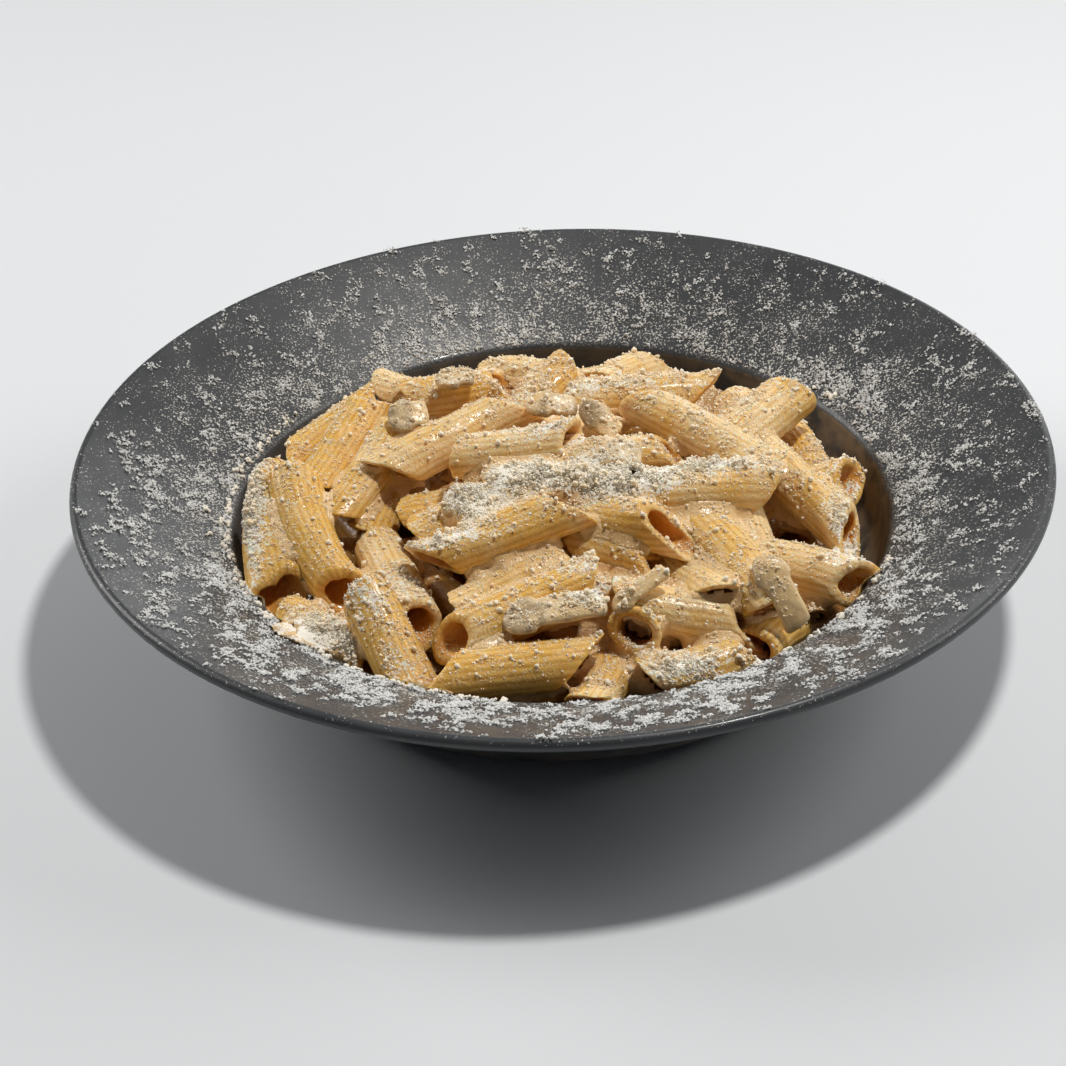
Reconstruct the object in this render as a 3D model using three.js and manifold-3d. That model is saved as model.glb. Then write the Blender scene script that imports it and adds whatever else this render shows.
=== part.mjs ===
// A wide-rimmed bowl of penne with mushroom slices.
// Millimetres, +Z up. The bowl stands on z = 0 with its axis on the Z axis.
// From the front, which is -Y, +X is to the right.

import * as THREE from 'three';
import { mergeVertices } from 'three/addons/utils/BufferGeometryUtils.js';
import Module from 'manifold-3d';

const wasm = await Module();
wasm.setup();

// ---------------------------------------------------------------- sizes

const GAP = 0.3; // air between pieces that touch

const HEIGHT = 52; // table to the top of the rim
const RIM_RADIUS = 140;
const RIM_THICKNESS = 3.4;
const LIP_RADIUS = 96; // where the sloping rim turns down into the well
const LIP_HEIGHT = 29.4;
const LIP_ROUNDING = 3.5;
const WALL_THICKNESS = 3.6;
const WALL_LEAN = 10; // degrees that the well's wall leans outwards
const FLOOR_HEIGHT = 5; // the well's floor, inside
const FLOOR_ROUNDING = 16;
const UNDERSIDE_HEIGHT = 2.4;
const FOOT_OUTER = 80;
const FOOT_INNER = 75;
const BOWL_SEGMENTS = 56;

const TUBE_RADIUS = 6.6; // a cooked penne
const TUBE_LENGTH = 40; // between the middles of its two mouths
const BORE_RATIO = 0.6; // bore over outer radius
const BORE_DEPTH = 11;
const TUBE_SIDES = 8;
const BORE_SIDES = 6;
const CUT_SLANT = 45; // degrees that a mouth leans away from a square cut

const MOUND_RADIUS = 92; // the heap's own shape, under its loose top layer
const MOUND_CROWN = 43;
const MOUND_EDGE = 17;
const MOUND_BACK = 5; // how far the crown sits behind the bowl's axis

const SLICE_THICKNESS = 2.6; // a slice of mushroom
const STEM_RATIO = 0.38; // half the stem's width over the cap's width

const radians = THREE.MathUtils.degToRad;

// ---------------------------------------------------------------- solids

// A closed three.js geometry as a solid for joining and cutting.
function solidOf(geometry) {
  const bare = geometry.clone();
  bare.deleteAttribute('normal');
  bare.deleteAttribute('uv');
  const merged = mergeVertices(bare, 1e-4);
  const index = merged.index.array;
  const triangles = [];
  for (let i = 0; i < index.length; i += 3) {
    const [a, b, c] = [index[i], index[i + 1], index[i + 2]];
    if (a !== b && b !== c && c !== a) {
      triangles.push(a, b, c);
    }
  }
  const mesh = new wasm.Mesh({
    numProp: 3,
    vertProperties: new Float32Array(merged.attributes.position.array),
    triVerts: new Uint32Array(triangles),
  });
  return new wasm.Manifold(mesh);
}

function geometryOf(solid) {
  const mesh = solid.getMesh();
  const geometry = new THREE.BufferGeometry();
  geometry.setAttribute('position', new THREE.Float32BufferAttribute(mesh.vertProperties, 3));
  geometry.setIndex(new THREE.Uint32BufferAttribute(mesh.triVerts, 1));
  geometry.computeVertexNormals();
  return geometry;
}

// The largest of the separate bodies in a solid.
function mainBody(solid) {
  const bodies = solid.decompose();
  bodies.sort((a, b) => b.volume() - a.volume());
  return bodies[0];
}

// ---------------------------------------------------------------- profiles

// A profile through corners [radius, height, rounding], each rounded by an arc.
function roundedProfile(corners, arcSteps) {
  const points = [];
  corners.forEach(([x, y, rounding = 0], i) => {
    const corner = new THREE.Vector2(x, y);
    if (!rounding) {
      points.push(corner);
      return;
    }
    const before = new THREE.Vector2(...corners[i - 1]).sub(corner).normalize();
    const after = new THREE.Vector2(...corners[i + 1]).sub(corner).normalize();
    const half = before.angleTo(after) / 2;
    const centre = before.clone().add(after).normalize();
    centre.multiplyScalar(rounding / Math.sin(half)).add(corner);
    const start = before.multiplyScalar(rounding / Math.tan(half)).add(corner).sub(centre);
    const end = after.multiplyScalar(rounding / Math.tan(half)).add(corner).sub(centre);
    const turn = Math.atan2(start.cross(end), start.dot(end));
    const steps = Math.max(2, Math.round(Math.abs(turn) / arcSteps));
    for (let k = 0; k <= steps; k += 1) {
      const spoke = start.clone().rotateAround(new THREE.Vector2(), (turn * k) / steps);
      points.push(spoke.add(centre));
    }
  });
  return points;
}

function turned(profile, segments) {
  return new THREE.LatheGeometry(profile, segments).rotateX(Math.PI / 2);
}

// The rim's slope leads from the lip to a rim edge that is a full round.
const edgeRadius = RIM_THICKNESS / 2;
const edgeCentre = new THREE.Vector2(RIM_RADIUS - edgeRadius, HEIGHT - edgeRadius);
const lip = new THREE.Vector2(LIP_RADIUS, LIP_HEIGHT);
const toEdge = edgeCentre.clone().sub(lip);
const rimSlope = toEdge.angle() + Math.asin(edgeRadius / toEdge.length());
const slopeAlong = new THREE.Vector2(Math.cos(rimSlope), Math.sin(rimSlope));
const slopeUp = new THREE.Vector2(-slopeAlong.y, slopeAlong.x);
const wallOut = Math.tan(radians(WALL_LEAN)); // outward per millimetre of height

const wallRadius = (height) => LIP_RADIUS - (LIP_HEIGHT - height) * wallOut;

// The bowl's inside from the axis to the rim, or the same line set inwards by inset.
function insideCorners(inset) {
  const floor = FLOOR_HEIGHT + inset;
  const wallShift = inset / Math.cos(radians(WALL_LEAN));
  const slopeShift = inset / slopeAlong.x;
  const lipRise = (slopeShift + wallShift * (slopeAlong.y / slopeAlong.x))
    / (1 - wallOut * (slopeAlong.y / slopeAlong.x));
  return [
    [0, floor],
    [wallRadius(floor) - wallShift, floor, FLOOR_ROUNDING - inset],
    [LIP_RADIUS - wallShift + lipRise * wallOut, LIP_HEIGHT + lipRise, LIP_ROUNDING + inset],
  ];
}

function edgeCorner(side) {
  const corner = edgeCentre.clone().addScaledVector(slopeAlong, edgeRadius);
  corner.addScaledVector(slopeUp, side * edgeRadius);
  return [corner.x, corner.y, edgeRadius];
}

function bowlGeometry() {
  const underLip = [LIP_RADIUS + WALL_THICKNESS - 0.3, LIP_HEIGHT - 2.1, 5];
  const bodyCorner = wallRadius(UNDERSIDE_HEIGHT) + WALL_THICKNESS;
  const outside = [
    [0, UNDERSIDE_HEIGHT],
    [FOOT_INNER, UNDERSIDE_HEIGHT],
    [FOOT_INNER + 0.8, 0],
    [FOOT_OUTER, 0],
    [FOOT_OUTER + 0.8, UNDERSIDE_HEIGHT],
    [bodyCorner, UNDERSIDE_HEIGHT, 16],
    underLip,
    edgeCorner(-1),
  ];
  const inside = insideCorners(0).reverse();
  const corners = [...outside, edgeCorner(1), ...inside];
  return turned(roundedProfile(corners, radians(24)), BOWL_SEGMENTS);
}

// The room inside the bowl and above it, clear of the bowl by the gap.
function roomForFood() {
  const above = 2 * HEIGHT;
  const reach = RIM_RADIUS - LIP_RADIUS;
  const top = LIP_HEIGHT + GAP * 2 + reach * Math.tan(rimSlope);
  const corners = [
    ...insideCorners(GAP),
    [RIM_RADIUS, top],
    [RIM_RADIUS, above],
    [0, above],
  ];
  return solidOf(turned(roundedProfile(corners, radians(24)), BOWL_SEGMENTS));
}

// ---------------------------------------------------------------- penne

// One tube: the middle of its axis, the compass heading and rise of that axis,
// the way its slanted ends lean, and how far its middle is bowed to one side.
function penne(x, y, z, heading, rise, options = {}) {
  return {
    middle: new THREE.Vector3(x, y, z),
    heading,
    rise,
    length: TUBE_LENGTH,
    radius: TUBE_RADIUS,
    lean: 90,
    endLean: null,
    slant: CUT_SLANT,
    bow: 0,
    bowSide: 0,
    open: '',
    ...options,
  };
}

const PENNE = [
  // left side, standing up against the heap
  penne(-68, -30, 38, -66, -22, { radius: 7, lean: 60, slant: 40, bow: 3 }),
  penne(-81, -27, 36, -85, -21, { length: 38, radius: 6.8, lean: 100, bow: 1.5, open: 'end' }),
  penne(-69, 30, 37, 52, 4, { lean: 0 }),
  penne(-64, 16, 42, -113, -11, { lean: -90 }),
  penne(-54, 0, 43, -117, -14, { lean: -90 }),
  penne(-50, 1, 34, 75, 6, { radius: 6.8, lean: 75, open: 'start' }),
  penne(-62, -62, 24, -38, -8, { length: 30 }),

  // front left
  penne(-46, -45, 31, -70, -3, { length: 36, radius: 6.8, slant: 30, open: 'end' }),
  penne(-45, -74, 27, -62, -32, { length: 38, radius: 7 }),
  penne(-15, -81, 29, 4, 2, { length: 38, radius: 6.9, lean: -50, open: 'end' }),
  penne(-12, -65, 36, 22, 10, { radius: 6.9, lean: -110, endLean: -60, slant: 40, open: 'start' }),
  penne(-11, -51, 36, 26, 9, { length: 34, radius: 6.4 }),
  penne(0, -37, 37, 30, 0, { length: 32, radius: 6.4, lean: 60 }),
  penne(-17, -43, 46, 14, 12, { radius: 6.4, lean: 140, open: 'start' }),
  penne(-21, -27, 42, 16, 9, { length: 34, radius: 6.4, open: 'start' }),
  penne(-22, -13, 38, 12, 4, { radius: 6.4, lean: 60 }),

  // front right
  penne(22, -58, 25, 74, -30, { length: 34, radius: 6.7, slant: 8, open: 'start' }),
  penne(33, -63, 32, -8, -10, { length: 32 }),
  penne(56, -60, 21, 62, -18, { length: 30, radius: 6.8, lean: -60, slant: 15, open: 'start' }),
  penne(37, -77, 25, 18, 0, { length: 28, radius: 6.4 }),
  penne(10, -75, 20, 75, -12, { length: 34, radius: 6.5 }),
  penne(16, -56, 31, -10, -7, { length: 30, radius: 6.5 }),
  penne(16, -44, 38, -25, -5, { length: 24, radius: 6.5 }),
  penne(31, -47, 34, -60, 7, { length: 34, radius: 6, lean: -60 }),
  penne(47, -48, 37, -61, -10, { length: 36, radius: 8, slant: 30, endLean: -90 }),
  penne(53, -33, 33, -75, -22, { length: 28, radius: 6.7 }),
  penne(68, -45, 31, -20, -5, { length: 26, radius: 6.9, lean: 30, open: 'end' }),
  penne(14, -37, 45, -26, 3, { length: 36, radius: 7, open: 'end' }),

  // right side
  penne(71, -17, 37, -60, -8, { length: 38, radius: 7, lean: 140, open: 'end' }),
  penne(69, -7, 29, 5, 25, { length: 34, radius: 7.3, lean: 20, slant: 30, open: 'end' }),
  penne(60, 17, 44, 52, 0, { length: 34, radius: 7.5, lean: 150, slant: 25 }),
  penne(49, 18, 37, -108, 2, { length: 38 }),
  penne(74, 19, 27, -78, 0, { length: 34, radius: 6.5 }),

  // crown
  penne(-31, 4, 49, 32, 9, { length: 43, radius: 6.9, lean: 120, open: 'start' }),
  penne(-12, -11, 54, 1, 6, { length: 31, radius: 6.4, lean: 0, slant: 30, open: 'end' }),
  penne(-5, -13, 46, 14, 8, { length: 36, radius: 6, lean: 60 }),
  penne(20, -10, 48, 8, -4, { length: 28, radius: 6.7 }),
  penne(37, -25, 46, 12, -6, { length: 38, radius: 7.3, lean: -90, bow: 2, bowSide: 90 }),
  penne(42, 0, 49, -40, -9, { length: 42, radius: 6.8, lean: 0, slant: 40, endLean: -90 }),
  penne(22, 28, 47, 5, -3, { length: 43, radius: 6.8, lean: -45, open: 'end' }),

  // back
  penne(-34, 43, 36, -20, -10),
  penne(-29, 40, 44, 4, 4, { length: 28 }),
  penne(-12, 33, 39, 42, 20, { length: 38, radius: 6.5, lean: -90 }),
  penne(-4, 51, 39, -6, -4, { length: 32, radius: 6.5, bow: 3, bowSide: 90 }),
  penne(22, 60, 36, 62, -16, { length: 34, lean: 120, open: 'start' }),
  penne(48, 56, 25, -50, 0),
  penne(0, 70, 27, 10, 0),
  penne(-42, 62, 26, 40, 0),
];

// Local X is the tube's level side, local Y its axis and local Z its upper side.
function tubeFrame(tube) {
  const heading = radians(tube.heading);
  const rise = radians(tube.rise);
  const axis = new THREE.Vector3(
    Math.cos(heading) * Math.cos(rise),
    Math.sin(heading) * Math.cos(rise),
    Math.sin(rise),
  );
  const side = axis.clone().cross(new THREE.Vector3(0, 0, 1)).normalize();
  const up = side.clone().cross(axis);
  return new THREE.Matrix4().makeBasis(side, axis, up).setPosition(tube.middle);
}

// A rod along the tube's bowed axis from one share of its length to another.
// Where a share is an end of the tube, the face there leans as the mouth does.
function rodGeometry(tube, radius, from, to, sides) {
  const steps = tube.bow ? 3 : 1;
  const rod = new THREE.CylinderGeometry(radius, radius, 1, sides, steps);
  const position = rod.attributes.position;
  const reach = Math.tan(radians(tube.slant));
  const bowAngle = radians(tube.bowSide);
  for (let i = 0; i < position.count; i += 1) {
    const x = position.getX(i);
    const z = position.getZ(i);
    const share = from + (position.getY(i) + 0.5) * (to - from);
    const atEnd = share > 0.99 && tube.endLean !== null;
    const lean = radians(atEnd ? tube.endLean : tube.lean);
    const cut = share < 0.01 || share > 0.99 ? reach : 0;
    const along = (share - 0.5) * tube.length;
    const bowed = tube.bow * (1 - 4 * (share - 0.5) ** 2);
    position.setX(i, x + bowed * Math.cos(bowAngle));
    position.setZ(i, z + bowed * Math.sin(bowAngle));
    position.setY(i, along - cut * (x * Math.cos(lean) + z * Math.sin(lean)));
  }
  return rod.applyMatrix4(tubeFrame(tube));
}

// A tube with a blind bore behind each open mouth.
function tubeSolid(tube) {
  let solid = solidOf(rodGeometry(tube, tube.radius, 0, 1, TUBE_SIDES));
  const bore = tube.radius * BORE_RATIO;
  const depth = BORE_DEPTH / tube.length;
  const clear = (tube.radius + 2) / tube.length;
  if (tube.open === 'start') {
    solid = solid.subtract(solidOf(rodGeometry(tube, bore, -clear, depth, BORE_SIDES)));
  }
  if (tube.open === 'end') {
    solid = solid.subtract(solidOf(rodGeometry(tube, bore, 1 - depth, 1 + clear, BORE_SIDES)));
  }
  return solid;
}

// The packed penne under the top layer: a low crowned mound.
function moundSolid() {
  const points = [new THREE.Vector2(0, 0), new THREE.Vector2(1.2 * MOUND_RADIUS, 0)];
  const steps = 6;
  for (let k = 0; k <= steps; k += 1) {
    const radius = 1.2 * MOUND_RADIUS * (1 - k / steps);
    const share = Math.min(1, (radius / MOUND_RADIUS) ** 2);
    points.push(new THREE.Vector2(radius, MOUND_CROWN + (MOUND_EDGE - MOUND_CROWN) * share));
  }
  return solidOf(turned(points, 24).translate(0, MOUND_BACK, 0));
}

// ---------------------------------------------------------------- mushrooms

// A slice lies at a place, with its stem along the heading. Its face is tipped
// towards the front by tip and its stem end is raised by rise.
function slice(x, y, z, heading, tip, rise, length, capWidth, curl) {
  return { x, y, z, heading, tip, rise, length, capWidth, curl };
}

const SLICES = [
  slice(-44, 8, 55, 10, 30, 0, 12, 11, 1),
  slice(-31, 33, 53, 10, 20, 0, 12, 9, 1),
  slice(-3, -72, 41, 8, 28, 4, 28, 11, 1.5),
  slice(20, -65, 42, 35, 40, 6, 18, 6, 1),
  slice(57, -66, 40.5, -62, 40, -14, 22, 10, 3),
  slice(-2, 8, 57, -5, 25, 0, 15, 9, 1),
  slice(12, 4, 54, -45, 35, -8, 14, 9, -1.5),
  slice(-27, -31, 50, 15, 25, 8, 14, 9, 1),
  slice(13, -19, 56, 0, 25, 0, 20, 10, 1.5),
];

// The outline of a sliced mushroom: a domed cap with a stem along +X.
function sliceOutline(length, capWidth, grow) {
  const start = -length / 2 - grow;
  const end = length / 2 + grow;
  const capHalf = capWidth / 2 + grow;
  const stemHalf = capWidth * STEM_RATIO + grow;
  const capDepth = Math.min(0.5 * length, 0.75 * capWidth) + grow;
  const gill = start + capDepth;
  const shape = new THREE.Shape();
  shape.moveTo(start, 0);
  shape.bezierCurveTo(start, -capHalf * 0.6, start + capDepth * 0.5, -capHalf, gill, -capHalf);
  shape.quadraticCurveTo(gill + 1, -stemHalf, gill + 2.5, -stemHalf);
  shape.lineTo(end - 1.5, -stemHalf);
  shape.quadraticCurveTo(end, -stemHalf, end, 0);
  shape.quadraticCurveTo(end, stemHalf, end - 1.5, stemHalf);
  shape.lineTo(gill + 2.5, stemHalf);
  shape.quadraticCurveTo(gill + 1, stemHalf, gill, capHalf);
  shape.bezierCurveTo(start + capDepth * 0.5, capHalf, start, capHalf * 0.6, start, 0);
  return shape;
}

function sliceGeometry(piece, grow) {
  const depth = SLICE_THICKNESS + 2 * grow;
  const outline = sliceOutline(piece.length, piece.capWidth, grow);
  const geometry = new THREE.ExtrudeGeometry(outline, {
    depth,
    bevelEnabled: false,
    curveSegments: 3,
  });
  geometry.translate(0, 0, -depth / 2);
  const position = geometry.attributes.position;
  for (let i = 0; i < position.count; i += 1) {
    const share = (2 * position.getX(i)) / piece.length;
    position.setZ(i, position.getZ(i) + piece.curl * (0.4 - share * share));
  }
  geometry.rotateY(-radians(piece.rise));
  geometry.rotateZ(radians(piece.heading));
  geometry.rotateX(radians(piece.tip));
  return geometry.translate(piece.x, piece.y, piece.z);
}

// ---------------------------------------------------------------- the food

function heapGeometry() {
  let heap = moundSolid();
  for (const tube of PENNE) {
    heap = heap.add(tubeSolid(tube));
  }
  heap = heap.intersect(roomForFood());
  for (const piece of SLICES) {
    heap = heap.subtract(solidOf(sliceGeometry(piece, GAP)));
  }
  return geometryOf(mainBody(mainBody(heap).simplify(0.15)));
}

// ---------------------------------------------------------------- scene graph

const bowlGlaze = new THREE.MeshStandardMaterial({
  color: 0x56585c,
  roughness: 0.35,
  metalness: 0,
});
const pasta = new THREE.MeshStandardMaterial({
  color: 0xd9a868,
  roughness: 0.45,
  metalness: 0,
});
const mushroom = new THREE.MeshStandardMaterial({
  color: 0xa39583,
  roughness: 0.5,
  metalness: 0,
});

function named(name, geometry, material) {
  const mesh = new THREE.Mesh(geometry, material);
  mesh.name = name;
  return mesh;
}

const bowlOfPenne = new THREE.Group();
bowlOfPenne.add(named('bowl', bowlGeometry(), bowlGlaze));
bowlOfPenne.add(named('penne_heap', heapGeometry(), pasta));
SLICES.forEach((piece, i) => {
  bowlOfPenne.add(named(`mushroom_${i + 1}`, sliceGeometry(piece, 0), mushroom));
});

export default bowlOfPenne;
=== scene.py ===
# The looks of a wide-rimmed bowl of penne with mushrooms and grated cheese.
# Sizes here are in millimetres, in the same frame as the solids; MM turns them into metres.
# From the front, which is -Y, +X is to the right.

import math
from types import SimpleNamespace

import bmesh
import bpy
import numpy as np
from mathutils import Matrix, Vector
from mathutils.bvhtree import BVHTree


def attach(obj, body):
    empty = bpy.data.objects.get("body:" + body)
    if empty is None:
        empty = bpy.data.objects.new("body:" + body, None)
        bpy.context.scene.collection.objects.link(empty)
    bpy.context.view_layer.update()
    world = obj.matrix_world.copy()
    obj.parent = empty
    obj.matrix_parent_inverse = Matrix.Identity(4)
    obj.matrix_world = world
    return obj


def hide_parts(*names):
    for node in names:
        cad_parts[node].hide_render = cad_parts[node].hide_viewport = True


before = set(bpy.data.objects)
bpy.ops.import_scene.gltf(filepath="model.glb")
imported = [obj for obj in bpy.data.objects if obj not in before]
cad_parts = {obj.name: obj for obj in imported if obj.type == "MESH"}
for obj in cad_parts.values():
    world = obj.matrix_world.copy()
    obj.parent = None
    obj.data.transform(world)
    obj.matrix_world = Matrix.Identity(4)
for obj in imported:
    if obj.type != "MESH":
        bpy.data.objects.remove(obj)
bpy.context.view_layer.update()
MM = 0.001

# ---------------- sizes, as in the solids

GAP = 0.3
HEIGHT = 52
RIM_RADIUS = 140
RIM_THICKNESS = 3.4
LIP_RADIUS = 96
LIP_HEIGHT = 29.4
LIP_ROUNDING = 3.5
WALL_THICKNESS = 3.6
WALL_LEAN = 10
FLOOR_HEIGHT = 5
FLOOR_ROUNDING = 16
UNDERSIDE_HEIGHT = 2.4
FOOT_OUTER = 80
FOOT_INNER = 75

TUBE_RADIUS = 6.6
TUBE_LENGTH = 40
BORE_RATIO = 0.6
CUT_SLANT = 45
USUAL_PINCH = 0.05

MOUND_RADIUS = 92
MOUND_CROWN = 43
MOUND_EDGE = 17
MOUND_BACK = 5
OVER_MOUND = 11

SLICE_THICKNESS = 2.6
STEM_RATIO = 0.38

# ---------------- meshes


def facing_out(verts, faces):
    """The faces of a closed mesh, turned over if they face inwards."""
    corner = verts[faces[:, :3]]
    inwards = np.einsum("ij,ij->", corner[:, 0], np.cross(corner[:, 1], corner[:, 2])) < 0
    return faces[:, ::-1] if inwards else faces


def linked(name, data):
    """A new object, linked into the scene."""
    thing = bpy.data.objects.new(name, data)
    bpy.context.scene.collection.objects.link(thing)
    return thing


def store(mesh, key, values):
    """Keep a value for each vertex, for the materials to read."""
    layer = mesh.attributes.new(key, "FLOAT", "POINT")
    layer.data.foreach_set("value", np.asarray(values, dtype=np.float32))


def new_object(name, verts, faces, slot=None, smooth=True, scale=MM, **values):
    """A mesh object from arrays in millimetres, riding on the part unless it is stage."""
    mesh = bpy.data.meshes.new(name)
    verts = np.asarray(verts, dtype=np.float64) * scale
    faces = np.asarray(faces, dtype=np.int32)
    if slot:
        faces = facing_out(verts, faces)
    count, corners = faces.shape
    mesh.vertices.add(len(verts))
    mesh.vertices.foreach_set("co", verts.ravel())
    mesh.loops.add(count * corners)
    mesh.loops.foreach_set("vertex_index", faces.ravel())
    mesh.polygons.add(count)
    mesh.polygons.foreach_set("loop_start", np.arange(count, dtype=np.int32) * corners)
    mesh.polygons.foreach_set("use_smooth", np.full(count, smooth))
    mesh.update(calc_edges=True)
    mesh.validate()
    for key in values:
        store(mesh, key, values[key])
    piece = linked(name, mesh)
    if slot:
        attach(piece, "root")
    return piece


def ring_faces(rings, count, closed=False):
    """Quads between neighbouring rings, with that many points in each."""
    r, c = np.meshgrid(np.arange(rings if closed else rings - 1), np.arange(count), indexing="ij")
    r2, c2 = (r + 1) % rings, (c + 1) % count
    quads = np.stack([r * count + c, r * count + c2, r2 * count + c2, r2 * count + c], axis=-1)
    return quads.reshape(-1, 4)


def halves(quads):
    """Each quad as two triangles."""
    return np.concatenate([quads[:, [0, 1, 2]], quads[:, [0, 2, 3]]])


def fan(hub, first, count, turned=False):
    """Triangles between a hub point and the ring of points that begins with the first."""
    step = first + np.arange(count)
    ahead = first + (np.arange(count) + 1) % count
    return np.stack([np.full(count, hub), *((ahead, step) if turned else (step, ahead))], axis=-1)


def full_turn(count):
    """Angles evenly round a circle."""
    return np.linspace(0, 2 * math.pi, count, endpoint=False)


def from_polar(radius, angle):
    return radius * np.cos(angle), radius * np.sin(angle)


def bell(value, middle, spread):
    return np.exp(-((value - middle) / spread) ** 2)


def wave(rng, phase):
    """A sine with a random start."""
    return np.sin(phase + rng.uniform(0, 6))


def points_of(x, y, z):
    """One list of points from three grids of coordinates."""
    return np.stack(np.broadcast_arrays(x, y, z), axis=-1).reshape(-1, 3)


def vertex_array(mesh, key):
    values = np.empty(len(mesh.vertices) * 3)
    mesh.vertices.foreach_get(key, values)
    return values.reshape(-1, 3)


class Batch:
    """Many small closed meshes gathered into one piece."""

    def __init__(self):
        self.verts, self.faces, self.values, self.count = [], [], {}, 0

    def add(self, verts, faces, **values):
        self.verts.append(verts)
        self.faces.append(faces + self.count)
        for key, value in values.items():
            self.values.setdefault(key, []).append(np.broadcast_to(value, len(verts)))
        self.count += len(verts)

    def piece(self, name, slot, smooth=True):
        values = {key: np.concatenate(value) for key, value in self.values.items()}
        verts, faces = np.concatenate(self.verts), np.concatenate(self.faces)
        return new_object(name, verts, faces, slot, smooth, **values)


# ---------------- the bowl's profile


def rounded_profile(corners, arc_step):
    """A profile through corners (radius, height, rounding), each rounded by an arc."""
    points = []
    for i, corner in enumerate(corners):
        here = np.array(corner[:2], float)
        rounding = corner[2] if len(corner) > 2 else 0
        if not rounding:
            points.append(here)
            continue
        before = np.array(corners[i - 1][:2], float) - here
        after = np.array(corners[i + 1][:2], float) - here
        before /= np.linalg.norm(before)
        after /= np.linalg.norm(after)
        half = math.acos(np.clip(before @ after, -1, 1)) / 2
        centre = (before + after) / np.linalg.norm(before + after) * rounding / math.sin(half) + here
        start = before * rounding / math.tan(half) + here - centre
        end = after * rounding / math.tan(half) + here - centre
        turn = math.atan2(start[0] * end[1] - start[1] * end[0], start @ end)
        steps = max(2, round(abs(turn) / arc_step))
        for k in range(steps + 1):
            a = turn * k / steps
            cos, sin = math.cos(a), math.sin(a)
            points.append(centre + (start[0] * cos - start[1] * sin, start[0] * sin + start[1] * cos))
    return np.array(points)


EDGE_RADIUS = RIM_THICKNESS / 2
EDGE_CENTRE = np.array([RIM_RADIUS - EDGE_RADIUS, HEIGHT - EDGE_RADIUS])
TO_EDGE = EDGE_CENTRE - (LIP_RADIUS, LIP_HEIGHT)
RIM_SLOPE = math.atan2(TO_EDGE[1], TO_EDGE[0]) + math.asin(EDGE_RADIUS / np.linalg.norm(TO_EDGE))
SLOPE_ALONG = np.array([math.cos(RIM_SLOPE), math.sin(RIM_SLOPE)])
SLOPE_UP = np.array([-SLOPE_ALONG[1], SLOPE_ALONG[0]])
WALL_OUT = math.tan(math.radians(WALL_LEAN))


def wall_radius(height):
    return LIP_RADIUS - (LIP_HEIGHT - height) * WALL_OUT


def rim_height(radius):
    """Height of the sloping rim's upper face."""
    return LIP_HEIGHT + (radius - LIP_RADIUS) * math.tan(RIM_SLOPE)


def edge_corner(side):
    corner = EDGE_CENTRE + SLOPE_ALONG * EDGE_RADIUS + SLOPE_UP * side * EDGE_RADIUS
    return (corner[0], corner[1], EDGE_RADIUS)


ARC_STEP = math.radians(9)
STRAIGHT_STEP = 12
BOWL_AROUND = 168


def bowl_profile():
    """The bowl's turned outline, from the middle of the underside round to the middle of the floor."""
    body = wall_radius(UNDERSIDE_HEIGHT) + WALL_THICKNESS
    corners = [
        (0, UNDERSIDE_HEIGHT),
        (FOOT_INNER, UNDERSIDE_HEIGHT, 0.3),
        (FOOT_INNER + 0.8, 0, 0.3),
        (FOOT_OUTER, 0, 0.3),
        (FOOT_OUTER + 0.8, UNDERSIDE_HEIGHT, 0.3),
        (body, UNDERSIDE_HEIGHT, 16),
        (LIP_RADIUS + WALL_THICKNESS - 0.3, LIP_HEIGHT - 2.1, 5),
        edge_corner(-1),
        edge_corner(1),
        (LIP_RADIUS, LIP_HEIGHT, LIP_ROUNDING),
        (wall_radius(FLOOR_HEIGHT), FLOOR_HEIGHT, FLOOR_ROUNDING),
        (0, FLOOR_HEIGHT),
    ]
    points = rounded_profile(corners, ARC_STEP)
    fine = [points[0]]
    for a, b in zip(points[:-1], points[1:]):
        parts = max(1, int(np.linalg.norm(b - a) // STRAIGHT_STEP))
        fine.extend(a + (b - a) * (k + 1) / parts for k in range(parts))
    return np.array(fine)


def build_bowl():
    profile = bowl_profile()[1:-1]
    around = BOWL_AROUND
    verts = points_of(*from_polar(profile[:, :1], full_turn(around)), profile[:, 1:])
    quads = ring_faces(len(profile), around)
    under, floor = len(verts), len(verts) + 1
    verts = np.concatenate([verts, [[0, 0, UNDERSIDE_HEIGHT], [0, 0, FLOOR_HEIGHT]]])
    caps = [fan(under, 0, around, True), fan(floor, under - around, around)]
    triangles = np.concatenate([halves(quads), *caps])
    # a film of sauce on the wall beside the food, together with a painted reflection of the food, thickest
    # on the right
    degrees = np.degrees(np.arctan2(verts[:, 1], verts[:, 0]))
    reach, height = np.hypot(verts[:, 0], verts[:, 1]), verts[:, 2]
    on_wall = (height < LIP_HEIGHT) & (height > FLOOR_HEIGHT) & (reach < LIP_RADIUS)
    smear = np.where(on_wall, 0.25 + 0.75 * bell(degrees, 12, 38), 0)
    # the rim's upper face, where fine cheese lies
    upper = ((reach > LIP_RADIUS - 1) & (height > rim_height(reach) - EDGE_RADIUS)).astype(float)
    bowl = new_object("bowl_glazed", verts, triangles, "bowl_glaze", smear=smear, upper=upper)
    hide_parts("bowl")
    return bowl


# ---------------- penne


def penne(x, y, z, heading, rise, **options):
    """One tube: its middle, its direction in degrees, and where it differs from the usual."""
    usual = dict(
        length=TUBE_LENGTH, radius=TUBE_RADIUS, lean=90, end_lean=None, slant=CUT_SLANT,
        bow=0, bow_side=0, flat=0.03, pinch_end=USUAL_PINCH, pinch_side=0,
    )
    middle = np.array([x, y, z], float)
    return SimpleNamespace(middle=middle, heading=heading, rise=rise, **{**usual, **options})


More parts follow.
